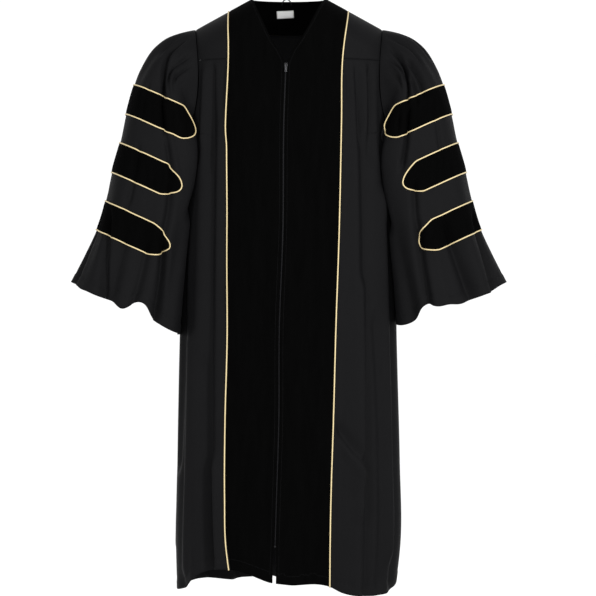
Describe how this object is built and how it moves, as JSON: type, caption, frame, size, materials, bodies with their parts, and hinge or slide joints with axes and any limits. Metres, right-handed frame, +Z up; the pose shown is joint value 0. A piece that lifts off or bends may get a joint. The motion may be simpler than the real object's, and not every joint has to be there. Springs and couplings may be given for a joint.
{
  "type": "doctoral graduation gown",
  "caption": "Black graduation gown, hollow as if worn: velvet front panels and sleeve bars edged in gold cord, yokes, fluted body, wide bell sleeves and a front zip.",
  "frame": {"origin": "base of the neck on the shoulder line, where the wearer's shoulders hold the gown up", "axes": "+Z up, the front of the gown faces -Y, +X is the wearer's left"},
  "size_m": [0.9954, 0.348, 1.3671],
  "materials": {
    "gown_cloth": "smooth black gown cloth with a soft sheen",
    "velvet": "deep black velvet pile",
    "gold_cord": "lustrous gold piping cord",
    "zip_chain": "black coil zip",
    "zip_tape": "woven black tape",
    "zip_metal": "black enamelled zip metal",
    "label_cloth": "plain white satin label"
  },
  "bodies": {
    "gown": {"back": "gown_cloth", "back_yoke": "gown_cloth", "front_yoke_right": "gown_cloth", "front_yoke_left": "gown_cloth", "side_front_right": "gown_cloth", "side_front_left": "gown_cloth", "sleeve_right": "gown_cloth", "sleeve_left": "gown_cloth", "velvet_neck_band": "velvet", "velvet_front_right": "velvet", "velvet_front_left": "velvet", "velvet_bar_right_1": "velvet", "velvet_bar_right_2": "velvet", "velvet_bar_right_3": "velvet", "velvet_bar_left_1": "velvet", "velvet_bar_left_2": "velvet", "velvet_bar_left_3": "velvet", "neck_piping": "gold_cord", "front_piping_right": "gold_cord", "front_piping_left": "gold_cord", "bar_piping_right_1": "gold_cord", "bar_piping_right_2": "gold_cord", "bar_piping_right_3": "gold_cord", "bar_piping_left_1": "gold_cord", "bar_piping_left_2": "gold_cord", "bar_piping_left_3": "gold_cord", "zip_chain": "zip_chain", "zip_tape_right": "zip_tape", "zip_tape_left": "zip_tape", "hanging_loop": "zip_tape", "zip_slider": "zip_metal", "zip_stop": "zip_metal", "neck_label": "label_cloth"},
    "pull": {"zip_pull": "zip_metal"}
  },
  "joints": [
    {"name": "pull_hinge", "type": "hinge", "parent": "gown", "child": "pull", "pos_m": [-0.00657, -0.12285, -0.16062], "axis": [-1, 0, 0], "range_deg": [0, 150]}
  ]
}
